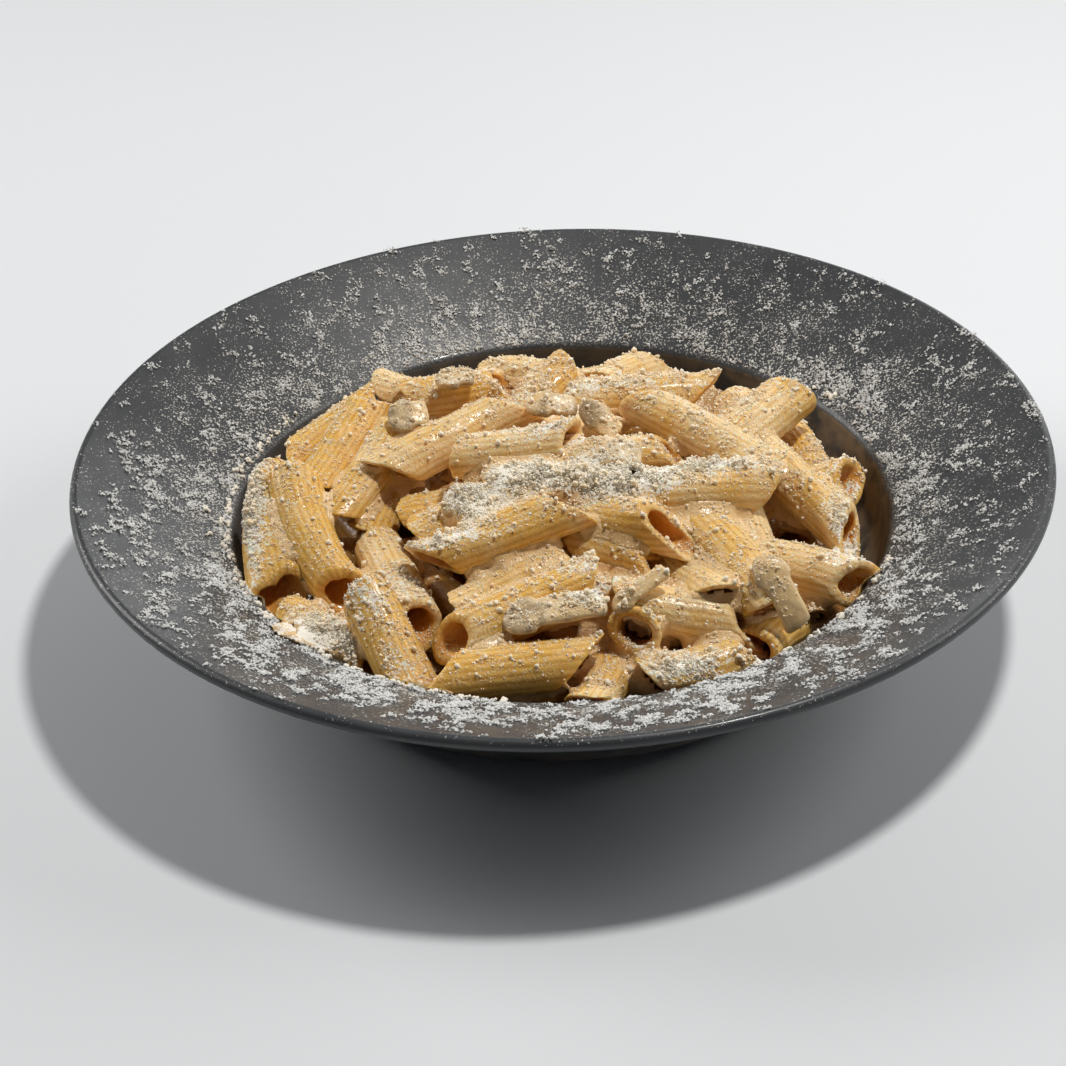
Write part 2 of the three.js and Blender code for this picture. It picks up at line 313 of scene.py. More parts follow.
PENNE = {
    "left": [
        penne(-68, -30, 38, -66, -22, radius=7, lean=60, slant=40, bow=3),
        penne(-81, -27, 36, -85, -21, length=38, radius=6.8, lean=100, bow=1.5, pinch_end=0.3),
        penne(-69, 30, 37, 52, 4, lean=0),
        penne(-64, 16, 42, -113, -11, lean=-90),
        penne(-54, 0, 43, -117, -14, lean=-90),
        penne(-50, 1, 34, 75, 6, radius=6.8, lean=75),
        penne(-62, -62, 24, -38, -8, length=30),
    ],
    "front_left": [
        penne(-46, -45, 31, -70, -3, length=36, radius=6.8, slant=30),
        penne(-45, -74, 27, -62, -32, length=38, radius=7),
        penne(-15, -81, 29, 4, 2, length=38, radius=6.9, lean=-50),
        penne(-12, -65, 36, 22, 10, radius=6.9, lean=-110, end_lean=-60, slant=40),
        penne(-11, -51, 36, 26, 9, length=34, radius=6.4),
        penne(0, -37, 37, 30, 0, length=32, radius=6.4, lean=60),
        penne(-17, -43, 46, 14, 12, radius=6.4, lean=140),
        penne(-21, -27, 42, 16, 9, length=34, radius=6.4),
        penne(-22, -13, 38, 12, 4, radius=6.4, lean=60),
    ],
    "front_right": [
        penne(22, -58, 25, 74, -30, length=34, radius=6.7, slant=8),
        penne(33, -63, 32, -8, -10, length=32),
        penne(56, -60, 21, 62, -18, length=30, radius=6.8, lean=-60, slant=15),
        penne(37, -77, 25, 18, 0, length=28, radius=6.4),
        penne(10, -75, 20, 75, -12, length=34, radius=6.5),
        penne(16, -56, 31, -10, -7, length=30, radius=6.5),
        penne(16, -44, 38, -25, -5, length=24, radius=6.5),
        penne(31, -47, 34, -60, 7, length=34, radius=6, lean=-60),
        penne(47, -48, 37, -61, -10, length=36, radius=8, slant=30, end_lean=-90, flat=0.1),
        penne(53, -33, 33, -75, -22, length=28, radius=6.7),
        penne(68, -45, 31, -20, -5, length=26, radius=6.9, lean=30),
        penne(14, -37, 45, -26, 3, length=36, radius=7, pinch_end=0.22, pinch_side=90),
    ],
    "right": [
        penne(71, -17, 37, -60, -8, length=38, radius=7, lean=140),
        penne(69, -7, 29, 5, 25, length=34, radius=7.3, lean=20, slant=30),
        penne(60, 17, 44, 52, 0, length=34, radius=7.5, lean=150, slant=25),
        penne(49, 18, 37, -108, 2, length=38),
        penne(74, 19, 27, -78, 0, length=34, radius=6.5),
    ],
    "crown": [
        penne(-31, 4, 49, 32, 9, length=43, radius=6.9, lean=120),
        penne(-12, -11, 54, 1, 6, length=31, radius=6.4, lean=0, slant=30),
        penne(-5, -13, 46, 14, 8, length=36, radius=6, lean=60),
        penne(20, -10, 48, 8, -4, length=28, radius=6.7),
        penne(37, -25, 46, 12, -6, length=38, radius=7.3, lean=-90, bow=2, bow_side=90),
        penne(42, 0, 49, -40, -9, length=42, radius=6.8, lean=0, slant=40, end_lean=-90),
        penne(22, 28, 47, 5, -3, length=43, radius=6.8, lean=-45),
    ],
    "back": [
        penne(-34, 43, 36, -20, -10),
        penne(-29, 40, 44, 4, 4, length=28),
        penne(-12, 33, 39, 42, 20, length=38, radius=6.5, lean=-90),
        penne(-4, 51, 39, -6, -4, length=32, radius=6.5, bow=3, bow_side=90),
        penne(22, 60, 36, 62, -16, length=34, lean=120),
        penne(48, 56, 25, -50, 0),
        penne(0, 70, 27, 10, 0),
        penne(-42, 62, 26, 40, 0),
    ],
}


def tube_axes(tube):
    """Unit vectors to the tube's side, along it, and up from it."""
    heading, rise = math.radians(tube.heading), math.radians(tube.rise)
    axis = np.array(
        [math.cos(heading) * math.cos(rise), math.sin(heading) * math.cos(rise), math.sin(rise)]
    )
    side = np.cross(axis, (0, 0, 1))
    side /= np.linalg.norm(side)
    return side, axis, np.cross(side, axis)


def tube_rings(steps):
    """Each ring's share along the length, place through the wall (1 outside, 0 bore) and shift along."""
    outside = 0.5 - 0.5 * np.cos(np.linspace(0.12, 1 - 0.12, steps) * math.pi)
    outside = (outside - outside[0]) / (outside[-1] - outside[0])
    rings = [(s, 1.0, 0.7 * (1 - 2 * s)) for s in outside]
    rings += [(1, 0.93, -0.25), (1, 0.72, 0.0), (1, 0.45, 0.05), (1, 0.2, -0.1)]
    rings += [(s, 0.0, 0.8 * (1 - 2 * s)) for s in (1, 0.9, 0.75, 0.5, 0.25, 0.1, 0)]
    rings += [(0, 0.2, 0.1), (0, 0.45, -0.05), (0, 0.72, 0.0), (0, 0.93, 0.25)]
    return (np.array(column)[:, None] for column in zip(*rings))


def tube_mesh(tube, rng, ridges, per_ridge, steps):
    """A hollow ridged tube: rings out along its outside, over one mouth and back along its bore."""
    share, through, shift = tube_rings(steps)
    length, radius = tube.length, tube.radius
    bore = radius * BORE_RATIO
    around = ridges * per_ridge
    theta = full_turn(around) + rng.uniform(0, 0.2)
    ridge = 0.5 + 0.5 * np.cos(theta * ridges + share * rng.uniform(-2.5, 2.5))
    # unevenness: an oval section, pinched mouths and slow swells
    side_angle = rng.uniform(-0.5, 0.5)
    pinch_angle = math.radians(tube.pinch_side) + rng.uniform(-0.4, 0.4)
    swell = tube.flat * np.cos(2 * (theta - side_angle))
    near_start = np.exp(-share * length / 7)
    near_end = np.exp(-(1 - share) * length / 7)
    swell = swell + USUAL_PINCH * near_start * np.cos(2 * (theta - pinch_angle))
    swell = swell + tube.pinch_end * near_end * np.cos(2 * (theta - pinch_angle + 0.6))
    for _ in range(5):
        turns = rng.integers(0, 4)
        along = rng.uniform(2, 9)
        swell = swell + rng.uniform(0.008, 0.03) * np.cos(
            turns * theta + along * share + rng.uniform(0, 2 * math.pi)
        )
    swell = swell + rng.uniform(-0.02, 0.02)

    reach = bore + (radius - bore) * through
    worn = 0.5 + 0.5 * wave(rng, theta + 4 * share) * wave(rng, 7 * share)
    reach = reach + radius * swell + through ** 3 * (0.05 + 0.14 * worn) * (ridge - 0.6)
    reach = reach + (1 - through) * 0.12 * np.cos(3 * theta + 5 * share)
    x, z = from_polar(reach, theta)

    slope = math.tan(math.radians(tube.slant))
    lean = math.radians(tube.lean)
    end_lean = math.radians(tube.lean if tube.end_lean is None else tube.end_lean)
    cut = (1 - share) * (x * math.cos(lean) + z * math.sin(lean))
    cut = cut + share * (x * math.cos(end_lean) + z * math.sin(end_lean))
    y = (share - 0.5) * length + shift - slope * cut
    ragged = 0.25 * wave(rng, 3 * theta) + 0.12 * wave(rng, 7 * theta)
    y = y + ragged * (near_start + near_end)

    bow_angle = math.radians(tube.bow_side)
    middle = 4 * np.clip(share * (1 - share), 0, 1)
    x = x + tube.bow * middle * math.cos(bow_angle) + rng.uniform(-1.1, 1.1) * middle
    z = z + tube.bow * middle * math.sin(bow_angle) + rng.uniform(-0.7, 0.7) * middle

    side, axis, up = tube_axes(tube)
    points = x[..., None] * side + y[..., None] * axis + z[..., None] * up + tube.middle
    faces = ring_faces(len(share), around, closed=True)
    through = np.broadcast_to(through, x.shape)
    values = {"ridge": ridge * through, "inner": 1 - through, "through": through}
    return points.reshape(-1, 3), faces, {key: value.ravel() for key, value in values.items()}


def keep_inside(points):
    """Points pressed back where they would reach into the bowl."""
    radius = np.hypot(points[:, 0], points[:, 1])
    z = points[:, 2]
    z = np.maximum(z, FLOOR_HEIGHT + GAP)
    # the rounded corner between floor and wall
    centre_r = wall_radius(FLOOR_HEIGHT) - FLOOR_ROUNDING * math.tan(math.radians(45 - WALL_LEAN / 2))
    centre_z = FLOOR_HEIGHT + FLOOR_ROUNDING
    out, down = radius - centre_r, centre_z - z
    far = np.hypot(out, down)
    corner = (out > 0) & (down > 0) & (far > FLOOR_ROUNDING - GAP)
    pull = np.where(corner, (FLOOR_ROUNDING - GAP) / np.maximum(far, 1e-6), 1)
    new_radius = np.where(corner, centre_r + out * pull, radius)
    z = np.where(corner, centre_z - down * pull, z)
    # the leaning wall below the lip
    limit = wall_radius(z) - GAP
    wall = (z < LIP_HEIGHT - 1) & (new_radius > limit)
    new_radius = np.where(wall, limit, new_radius)
    # the sloping rim above the lip
    slope = rim_height(new_radius) + GAP + 0.5
    rim = (new_radius > LIP_RADIUS - 1) & (z < slope)
    z = np.where(rim, slope, z)
    scale = new_radius / np.maximum(radius, 1e-6)
    return np.stack([points[:, 0] * scale, points[:, 1] * scale, z], axis=-1)


# how far a wall gives way at most
DENT_DEPTH = 2.6


def dent(tubes):
    """Soft tubes give way where a tube that lies higher presses on them."""
    for i, low in enumerate(tubes):
        for j, high in enumerate(tubes):
            if i == j or high.rank <= low.rank:
                continue
            apart = np.linalg.norm(high.middle - low.middle)
            if apart > (high.length + low.length) / 2 + 16:
                continue
            axis_j = tube_axes(high)[1]
            offset = low.points - high.middle
            along = offset @ axis_j
            away = offset - along[:, None] * axis_j
            distance = np.linalg.norm(away, axis=1)
            wall = low.radius * (1 - BORE_RATIO)
            target = high.radius * 1.01 + (1 - low.values["through"]) * wall * 0.6
            inside = (distance < target) & (np.abs(along) < high.length / 2)
            if not inside.any():
                continue
            push = np.where(inside, np.minimum(target - distance, DENT_DEPTH), 0)
            ease = np.clip((high.length / 2 - np.abs(along)) / 4, 0, 1)
            away = away / np.maximum(distance, 1e-6)[:, None]
            low.points = low.points + away * (push * ease)[:, None]


def surface_height(x, y):
    """Rough height of the heap's top: the mound, and the penne that lie half sunk in it."""
    share = (x ** 2 + (y - MOUND_BACK) ** 2) / MOUND_RADIUS ** 2
    return MOUND_CROWN + OVER_MOUND + (MOUND_EDGE - MOUND_CROWN) * np.minimum(share, 1)


# a tube's ridges, the points across each, and the rings along its outside
FINE = dict(ridges=20, per_ridge=4, steps=19)
COARSE = dict(ridges=18, per_ridge=2, steps=6)
# the layer below: its reach from the middle, the tubes' spacing, their depth under the heap's top
UNDER_REACH = 78
UNDER_SPACING = 21
UNDER_DEPTH = 19

# how much more or less than usual the sauce veils a group
VEIL = {"left": -0.6, "front_left": -0.15, "right": -0.25, "crown": 0.35}


def under_penne(rng):
    """Penne of the layer below, spread evenly, seen where the ones on top leave a gap."""
    tubes = []
    for row in range(-5, 6):
        for column in range(-5, 6):
            x = (column + 0.5 * (row % 2)) * UNDER_SPACING + rng.uniform(-4, 4)
            y = row * UNDER_SPACING * 0.87 + rng.uniform(-4, 4)
            if math.hypot(x, y) > UNDER_REACH:
                continue
            z = surface_height(x, y) - UNDER_DEPTH + rng.uniform(-2.5, 1.5)
            heading = rng.uniform(0, 360)
            if math.hypot(x, y) > 60:
                heading = math.degrees(math.atan2(y, x)) + 90 + rng.uniform(-35, 35)
            tubes.append(
                penne(x, y, z, heading, rng.uniform(-8, 8), length=rng.uniform(34, 40),
                      radius=rng.uniform(6.1, 6.8), lean=rng.uniform(0, 360))
            )
    return tubes


def build_penne():
    """The penne in sight, by group, and the layer below them."""
    rng = np.random.default_rng(7)
    groups = {name: list(tubes) for name, tubes in PENNE.items()}
    groups["under"] = under_penne(rng)
    every = []
    for name, tubes in groups.items():
        for tube in tubes:
            in_sight = name != "under"
            detail = FINE if in_sight else COARSE
            tube.points, tube.faces, tube.values = tube_mesh(tube, rng, **detail)
            tube.rank = tube.middle[2] if in_sight else -10 + tube.middle[2] / 100
            tube.tone = rng.uniform(0, 1) + VEIL.get(name, 0)
            every.append(tube)
    dent(every)
    pieces = []
    for name, tubes in groups.items():
        batch = Batch()
        for tube in tubes:
            tube.points = keep_inside(tube.points)
            values = {key: tube.values[key] for key in ("ridge", "inner")}
            batch.add(tube.points, tube.faces, tone=tube.tone, **values)
        piece = batch.piece(f"penne_{name}", "pasta")
        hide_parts("penne_heap")
        pieces.append(piece)
    return pieces, groups


# places where a gap between the penne stays open, up to a height: x, y, reach, height
OPEN_GAPS = [
    (-6, -39, 6, 46), (1, -39, 6, 46), (9, -41, 5, 44), (28, -45, 6, 42), (-36, -43, 7, 40),
    (-8, -75, 6, 38), (52, -17, 4, 42),
]

# lumps of sauce and pasta scraps that fill troughs between the penne: x, y, z, reach along each axis
LUMPS = [
    (-4, -25.5, 51, 20, 8.5, 5.5), (18, -27, 50.5, 11, 7.5, 5), (-22, -33, 46.5, 10, 7, 5),
    (-13, -30.5, 49, 7, 5, 4), (-68, -64, 27, 13, 8, 5), (55, -10, 43, 8, 7, 4), (8, 12, 46, 14, 7, 4),
    (23, -75, 21, 9, 6, 6), (40, -70, 24, 10, 5, 5),
]

FILM_VOXEL = 1.3
FILM_THICKNESS = 0.5
# how far off a tube is looked for, and how deep the film's border sinks into it
FILM_REACH, FILM_SINKS = 9, 0.3
# how far the relaxed surface stands clear of the penne where film surely lies, and where it may spread
FILM_CLEAR, FILM_SPREADS = 0.7, 0.2
# film deeper than this under the heap's top is out of sight
FILM_DEPTH = 15


def lump_mesh(x, y, z, *reach):
    """A bumpy ball stretched to its reach along each axis."""
    rings, around = 14, 24
    polar = np.linspace(0.06, math.pi - 0.06, rings)[:, None]
    points = points_of(*from_polar(np.sin(polar), full_turn(around)), np.cos(polar))
    bumps = 0.09 * np.sin(points @ (4.1, 2.3, 1.7) + x)
    bumps = 1 + bumps + 0.07 * np.sin(points @ (-5.3, 6.1, 3.9))
    return points * bumps[:, None] * reach + (x, y, z), ring_faces(rings, around)[:, ::-1]


def finished_mesh(piece):
    """The mesh as the piece's modifiers leave it."""
    depsgraph = bpy.context.evaluated_depsgraph_get()
    return bpy.data.meshes.new_from_object(piece.evaluated_get(depsgraph))


def build_sauce(groups):
    """Sauce in the creases: the tubes' joined surface relaxed, kept where it stands clear of them."""
    batch = Batch()
    for tubes in groups.values():
        for tube in tubes:
            batch.add(tube.points, tube.faces, through=tube.values["through"])
    points = np.concatenate(batch.verts)
    faces = facing_out(points, np.concatenate(batch.faces))
    in_bore = np.concatenate(batch.values["through"])[faces].max(axis=1) < 0.6
    tree = BVHTree.FromPolygons(points.tolist(), faces.tolist())
    for lump in LUMPS:
        batch.add(*lump_mesh(*lump))
    joined = new_object("sauce_film", np.concatenate(batch.verts), np.concatenate(batch.faces), "pasta")
    joined.parent = None
    remesh = joined.modifiers.new("remesh", "REMESH")
    remesh.mode = "VOXEL"
    remesh.voxel_size = FILM_VOXEL * MM
    relax = joined.modifiers.new("relax", "SMOOTH")
    relax.factor = 0.5
    relax.iterations = 14
    relaxed = finished_mesh(joined)
    bpy.data.objects.remove(joined)
    verts = vertex_array(relaxed, "co") / MM + vertex_array(relaxed, "normal") * 0.1
    quads = np.array([list(p.vertices) for p in relaxed.polygons if len(p.vertices) == 4])
    stands = np.full(len(verts), -1.0)
    sunk = verts.copy()
    for i in np.flatnonzero(verts[:, 2] > surface_height(verts[:, 0], verts[:, 1]) - FILM_DEPTH):
        spot, normal, face, _ = tree.find_nearest(Vector(verts[i]), FILM_REACH)
        if spot is None:
            stands[i] = FILM_REACH
        elif not in_bore[face]:
            stands[i] = (Vector(verts[i]) - spot).dot(normal)
            if abs(stands[i]) < 1.5:
                sunk[i] = spot - normal * FILM_SINKS
    covered = stands > FILM_CLEAR
    for x, y, reach, height in OPEN_GAPS:
        stands[(np.hypot(verts[:, 0] - x, verts[:, 1] - y) < reach) & (verts[:, 2] < height)] = -1
    covered &= stands > 0
    for _ in range(3):
        beside = covered[quads].any(axis=1) & (stands[quads] > FILM_SPREADS).any(axis=1)
        covered[quads[beside]] = True
    keep = covered[quads].all(axis=1)
    border = np.zeros(len(verts), bool)
    border[quads[~keep]] = True
    verts[border] = sunk[border]
    quads = quads[keep]
    used, index = np.unique(quads, return_inverse=True)
    film = new_object("sauce_film", keep_inside(verts[used]), index.reshape(-1, 4), "pasta")
    thicken = film.modifiers.new("thicken", "SOLIDIFY")
    thicken.thickness = FILM_THICKNESS * MM
    thicken.offset = -1
    film.data = finished_mesh(film)
    film.modifiers.clear()
    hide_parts("penne_heap")
    return film


CORE_RADIUS = 90
CORE_DEPTH = 26


def build_core():
    """The heap's sauce-coated inside, seen only down the gaps between the penne; its colour is the sauce
    darkened as painted shade.
    """
    rng = np.random.default_rng(3)
    rings, around = 40, 96
    share = np.linspace(0, 1, rings + 1)[1:]
    x, y = from_polar(CORE_RADIUS * share[:, None], full_turn(around))
    z = surface_height(x, y) - CORE_DEPTH
    for _ in range(24):
        kx, ky = rng.uniform(-0.35, 0.35, 2)
        z = z + 0.5 * wave(rng, kx * x + ky * y)
    top = keep_inside(points_of(x, y, z))
    base = FLOOR_HEIGHT + GAP
    bottom_ring = top[-around:] * (0.84, 0.84, 0) + (0, 0, base)
    hubs = [[0, 0, surface_height(0, 0) - CORE_DEPTH], [0, 0, base]]
    verts = np.concatenate([top, bottom_ring, hubs])
    quads = ring_faces(rings + 1, around)
    crown = len(verts) - 2
    caps = [fan(crown, 0, around), fan(crown + 1, rings * around, around, True)]
    triangles = np.concatenate([halves(quads[:, [0, 3, 2, 1]]), *caps])
    core = new_object("penne_core", verts, triangles, "pasta")
    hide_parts("penne_heap")
    return core


# ---------------- mushrooms


def mushroom(x, y, z, heading, tip, rise, length, cap, curl, sauced):
    """One slice: its place, its three angles in degrees, its size, its curl and how much sauce it has."""
    turns = [(tip, "X"), (heading, "Z"), (-rise, "Y")]
    return SimpleNamespace(place=(x, y, z), turns=turns, length=length, cap=cap, curl=curl, sauced=sauced)


MUSHROOMS = [
    mushroom(-44, 8, 55, 10, 30, 0, 12, 11, 1, 0.25),
    mushroom(-31, 33, 53, 10, 20, 0, 12, 9, 1, 0.4),
    mushroom(-3, -72, 41, 8, 28, 4, 28, 11, 1.5, 0.35),
    mushroom(20, -65, 42, 35, 40, 6, 18, 6, 1, 0.7),
    mushroom(57, -66, 40.5, -62, 40, -14, 22, 10, 3, 0.45),
    mushroom(-2, 8, 57, -5, 25, 0, 15, 9, 1, 0.5),
    mushroom(12, 4, 54, -45, 35, -8, 14, 9, -1.5, 0.5),
    mushroom(-27, -31, 50, 15, 25, 8, 14, 9, 1, 0.3),
    mushroom(13, -19, 56, 0, 25, 0, 20, 10, 1.5, 0.4),
]

# rings from the middle of a slice's upper face, over its edge, to the middle of its lower face:
# their share of the outline, and their height as a share of half the thickness
RING_SCALE = np.array([0.12, 0.35, 0.58, 0.76, 0.89, 0.97, 1.0, 0.97, 0.89, 0.76, 0.58, 0.35, 0.12])
RING_HEIGHT = np.array([1, 1, 0.98, 0.92, 0.75, 0.45, 0, -0.45, -0.75, -0.92, -0.98, -1, -1])


def bezier(a, b, c, d, steps):
    t = np.linspace(0, 1, steps + 1)[1:, None]
    return (1 - t) ** 3 * a + 3 * (1 - t) ** 2 * t * b + 3 * (1 - t) * t ** 2 * c + t ** 3 * d


def slice_outline(length, cap_width):
    """Half outline of a sliced mushroom, from the cap's crown to the stem's end, then mirrored."""
    start, end = -length / 2, length / 2
    cap = cap_width / 2
    stem = cap_width * STEM_RATIO
    depth = min(0.5 * length, 0.75 * cap_width)
    gill = start + depth
    p = [np.array(v, float) for v in (
        (start, 0), (start, cap * 0.6), (start + depth * 0.5, cap), (gill, cap),
        (gill + 0.7, cap * 0.9), (gill + 0.8, stem), (gill + 2.5, stem),
        (end - 3, stem * 1.03), (end - 1.5, stem), (end - 0.2, stem), (end, stem * 0.6), (end, 0),
    )]
    stretches = [p[0][None], bezier(*p[0:4], 14), bezier(*p[3:7], 6)]
    stretches += [np.linspace(p[6], p[8], 8)[1:], bezier(*p[8:12], 7)]
    half = np.concatenate(stretches)
    return np.concatenate([half, half[-2:0:-1] * (1, -1)])


def slice_faces(count):
    """Triangles of a slice whose rings have that many points."""
    rows = len(RING_SCALE)
    quads = ring_faces(rows, count)
    # the innermost ring of each face is closed by a strip across it
    far = count // 2
    near_side = np.arange(1, far - 1)
    strip = np.stack([near_side, near_side + 1, count - near_side - 1, count - near_side], axis=-1)
    caps = np.concatenate([halves(strip), [[0, 1, count - 1], [far - 1, far, far + 1]]])
    return np.concatenate([halves(quads), caps[:, ::-1], caps + (rows - 1) * count])


def build_mushroom(number, item, rng):
    outline = slice_outline(item.length, item.cap)
    angle = np.arctan2(outline[:, 1], outline[:, 0])
    wobble = 1 + 0.03 * wave(rng, 3 * angle) + 0.02 * wave(rng, 7 * angle)
    outline = outline * wobble[:, None]
    spine = outline * (1, 0)
    spine[:, 0] = np.clip(spine[:, 0], -item.length * 0.3, item.length * 0.4)
    flat = spine + (outline - spine) * RING_SCALE[:, None, None]
    x, y = flat[..., 0], flat[..., 1]
    high = RING_HEIGHT[:, None]
    dip = 0.1 * wave(rng, 1.1 * x) * wave(rng, 1.3 * y)
    ripple = 0.25 * wave(rng, 0.35 * x) + 0.25 * wave(rng, 0.5 * y)
    share = 2 * x / item.length
    lift = high * SLICE_THICKNESS / 2 + dip * high + ripple + item.curl * (0.4 - share ** 2)
    tip, heading, rise = (Matrix.Rotation(math.radians(degrees), 3, axis) for degrees, axis in item.turns)
    verts = points_of(x, y, lift) @ np.array(tip @ heading @ rise).T + item.place
    gill = outline[:, 0].min() + item.cap * 0.6
    values = dict(edge=np.repeat(1 - np.abs(RING_HEIGHT), len(outline)), gills=bell(x.ravel(), gill, 1.2))
    values["sauced"] = np.full(len(verts), item.sauced)
    faces = slice_faces(len(outline))
    piece = new_object(f"mushroom_slice_{number}", verts, faces, "mushroom", **values)
    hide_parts(f"mushroom_{number}")
    return piece


# ---------------- cheese


def surface_tree(pieces):
    """One search tree over the finished surfaces, in millimetres."""
    verts, faces, start = [], [], 0
    for piece in pieces:
        mesh = piece.data
        verts.append(vertex_array(mesh, "co") / MM)
        corners = np.empty(len(mesh.loops), np.int64)
        mesh.loops.foreach_get("vertex_index", corners)
        ends = np.cumsum([polygon.loop_total for polygon in mesh.polygons])[:-1]
        faces.extend(part.tolist() for part in np.split(corners + start, ends))
        start += len(mesh.vertices)
    return BVHTree.FromPolygons(np.concatenate(verts).tolist(), faces)


OCTAHEDRON = np.array([[1, 0, 0], [-1, 0, 0], [0, 1, 0], [0, -1, 0], [0, 0, 1], [0, 0, -1]], float)
OCTAHEDRON_FACES = np.array(
    [[0, 2, 4], [2, 1, 4], [1, 3, 4], [3, 0, 4], [2, 0, 5], [1, 2, 5], [3, 1, 5], [0, 3, 5]]
)
TETRAHEDRON = np.array([[1, 0, -0.5], [-0.6, 0.9, -0.5], [-0.6, -0.9, -0.5], [0, 0, 1]], float)
TETRAHEDRON_FACES = np.array([[0, 2, 1], [0, 1, 3], [1, 2, 3], [2, 0, 3]])


def icosphere(divisions):
    shape = bmesh.new()
    bmesh.ops.create_icosphere(shape, subdivisions=divisions, radius=1)
    verts = np.array([v.co[:] for v in shape.verts])
    faces = np.array([[v.index for v in f.verts] for f in shape.faces])
    shape.free()
    return verts, faces


def random_turn(rng):
    q = rng.normal(size=4)
    w, x, y, z = q / np.linalg.norm(q)
    return np.array([
        [1 - 2 * (y * y + z * z), 2 * (x * y - z * w), 2 * (x * z + y * w)],
        [2 * (x * y + z * w), 1 - 2 * (x * x + z * z), 2 * (y * z - x * w)],
        [2 * (x * z - y * w), 2 * (y * z + x * w), 1 - 2 * (x * x + y * y)],
    ])


def lying_turn(normal, rng):
    """A turn whose third axis follows the normal, loosely, with a random spin."""
    n = np.array(normal) + rng.normal(0, 0.25, 3)
    n /= np.linalg.norm(n)
    a = np.cross(n, rng.normal(size=3))
    a /= np.linalg.norm(a)
    return np.stack([a, np.cross(n, a), n], axis=-1)


def wave_field(rng, count, steepest):
    """A smooth random pattern over the plane, mostly between 0 and 1."""
    waves = [(rng.uniform(-steepest, steepest, 2), rng.uniform(0, 6)) for _ in range(count)]

    def field(x, y):
        return 0.5 + 0.36 / math.sqrt(count) * sum(np.sin(k[0] * x + k[1] * y + p) for k, p in waves)

    return field


# places on the food where the cheese lies thick: x, y, spread along x and y, thickness
THICK_CHEESE = [
    (-4, -27, 17, 6, 1.6), (19, -29, 12, 6, 1.3), (-25, -35, 9, 7, 0.9), (0, -10, 18, 5, 0.5),
    (-66, -66, 13, 8, 1.6), (-90, -22, 5, 30, 1.5), (-48, -80, 8, 5, 0.55), (-43, -52, 8, 8, 0.4),
    (6, -70, 8, 3, 0.8), (76, 44, 8, 8, 1.1), (-76, 46, 7, 12, 1.0), (80, -38, 8, 10, 1.0),
    (36, -86, 16, 6, 0.9), (24, -74, 8, 5, 0.5), (42, -20, 14, 6, 0.9), (0, 24, 26, 8, 0.4),
    (-20, 38, 26, 14, 0.3), (10, -58, 14, 6, 0.45), (40, 20, 30, 30, 0.15), (84, 0, 7, 24, 0.5),
    (-30, -48, 10, 5, 0.5),
]


def food_amount(x, y):
    """How thick the cheese lies on the food."""
    total = 0.24
    for cx, cy, wx, wy, weight in THICK_CHEESE:
        total = total + weight * np.exp(-(((x - cx) / wx) ** 2) - ((y - cy) / wy) ** 2)
    return total


def rim_amount(azimuth, radius):
    """Share of the sloping rim that cheese hides: most near the lip, and at the front left."""
    degrees = (np.degrees(azimuth) + 360) % 360
    near = np.clip(1 - (radius - 98) / 46, 0.1, 1)
    bare = bell(degrees, 64, 15) + 0.6 * bell(degrees, 336, 18)
    thick = 0.35 + 0.37 * bell(degrees, 255, 55) + 0.03 * bell(degrees, 100, 28)
    thick = thick - 0.11 * bell(degrees, 148, 30)
    return near * thick * (1 - 0.5 * bare)


SKIN = Vector((0, 0, 0.8))
NEARLY_UP = Vector((0.1, 0, 1))
SHELTERED = 0.25


def settle(pieces, tree):
    """Store on each vertex how much cheese powder lies there: level places open to the sky."""
    for piece in pieces:
        mesh = piece.data
        points = vertex_array(mesh, "co") / MM
        level = np.clip((vertex_array(mesh, "normal")[:, 2] - 0.25) / 0.6, 0, 1)
        dust = np.clip(0.3 + 0.5 * food_amount(points[:, 0], points[:, 1]), 0, 1.1) * level
        for i in np.flatnonzero(dust > 0.05):
            if tree.ray_cast(Vector(points[i]) + SKIN, NEARLY_UP)[0] is not None:
                dust[i] *= SHELTERED
        store(mesh, "dust", dust)


# clumps lying on the rim: azimuth in degrees, radius, number of grains
CLUMPS = [(183, 103, 6), (190, 102, 5), (31, 99, 12), (36, 97.5, 8)]
CLUMPS += [(degrees, 97.5, 9) for degrees in range(150, 262, 5)]
CLUMPS += [(degrees, 97.5, 5) for degrees in range(-60, -20, 6)]

# how many places are tried, and the triangles after which no more is added
RIM_PLACES, RIM_TRIANGLES = 90000, 180000
BIT_PLACES, BIT_TRIANGLES = 210000, 235000
GRAIN_PLACES, GRAIN_TRIANGLES = 26000, 82000
# the part of the rim, and of the food, where cheese lies
RIM_FROM, RIM_TO = 97, 139
FOOD_REACH = 94.5
# cheese never lies deeper than this under the heap's top
CHEESE_DEPTH = 14
# a bit smaller than this is a tetrahedron, a larger one an octahedron
SMALL_BIT = 0.55
# range of a bit's thickness, as a share of its size, loose on the rim and settled on the food
LOOSE, SETTLED = (0.6, 1.1), (0.45, 0.85)


